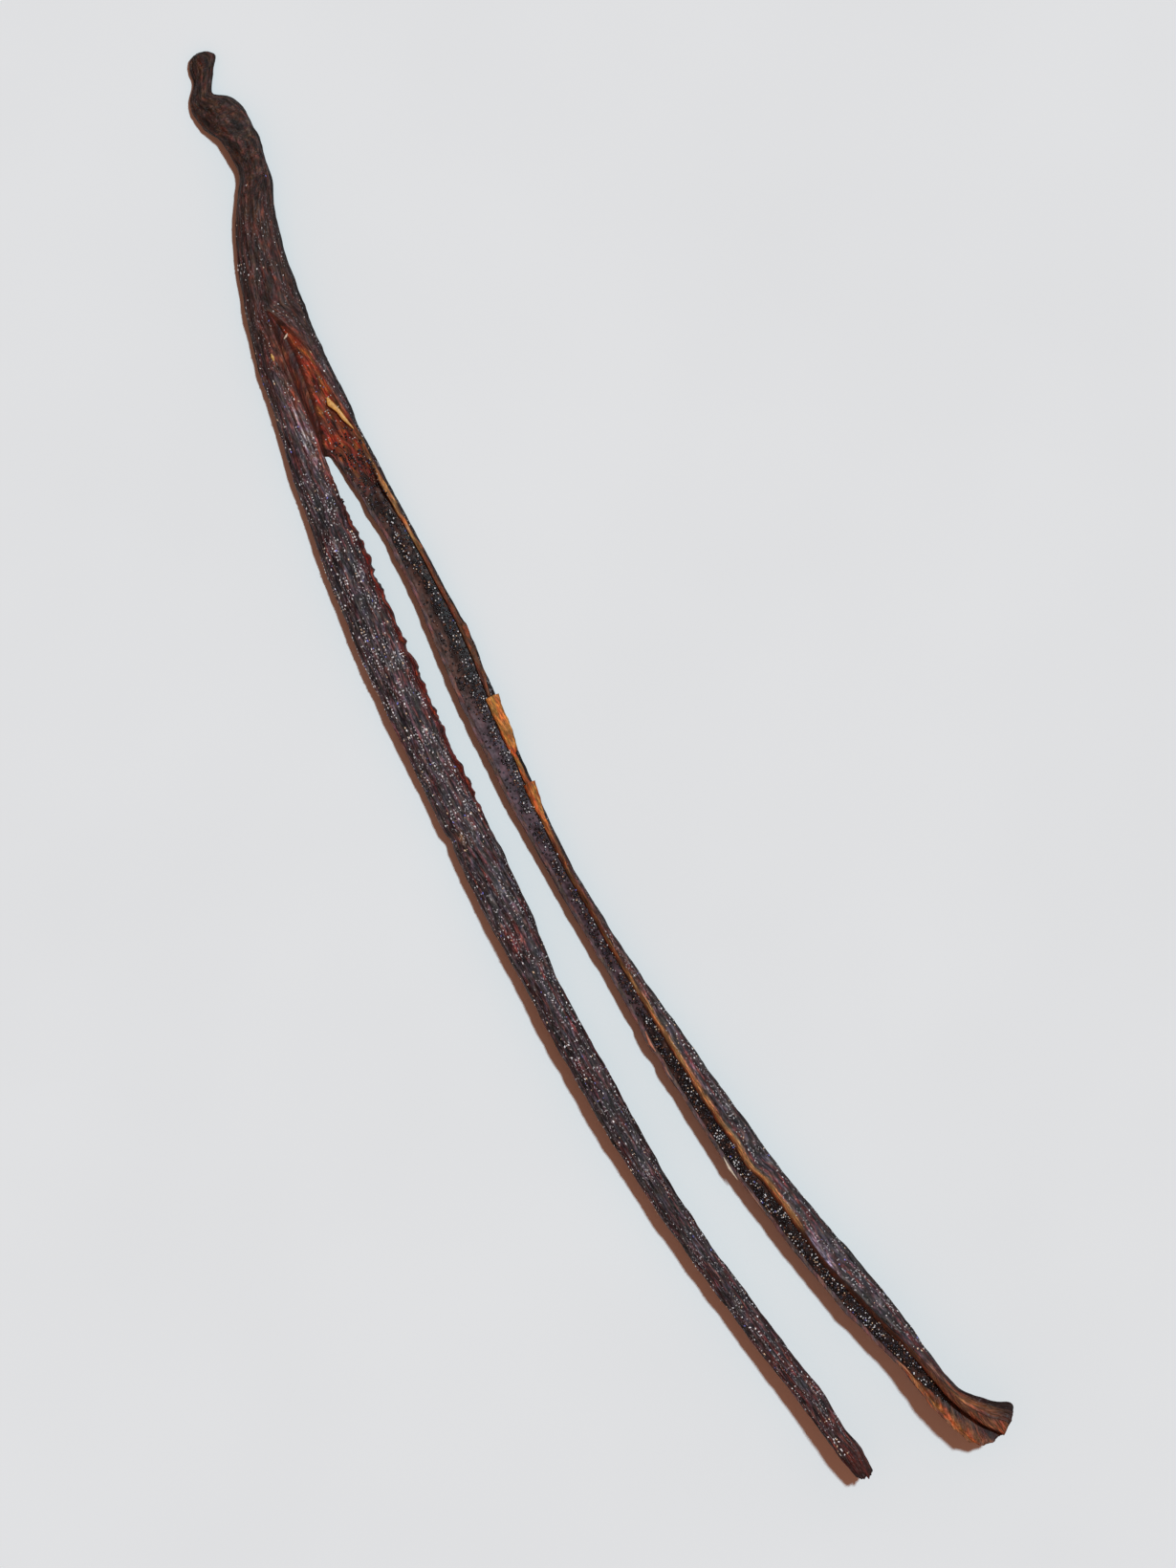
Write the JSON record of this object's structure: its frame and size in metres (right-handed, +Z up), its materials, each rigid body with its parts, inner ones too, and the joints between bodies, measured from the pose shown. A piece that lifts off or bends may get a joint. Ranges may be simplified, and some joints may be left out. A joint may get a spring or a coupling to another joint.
{
  "type": "vanilla pod",
  "caption": "Cured vanilla pod slit lengthwise, its halves joined at the hooked stem end, one lying skin up and one lying cut face up with seed pulp in it.",
  "frame": {"origin": "middle of the pod's length and breadth as it lies, on the surface it lies on", "axes": "+X from the stem end to the two tips, +Y towards the half that lies cut face up, +Z up"},
  "size_m": [0.1668, 0.025, 0.0056],
  "materials": {
    "husk": "dark brown oily wrinkled skin with reddish cut edges",
    "seed_pulp": "near black moist seeds with small bright glints"
  },
  "bodies": {
    "root": {"husk": "husk", "seed_pulp_open_half": "seed_pulp", "seed_pulp_skin_half": "seed_pulp"}
  },
  "joints": []
}
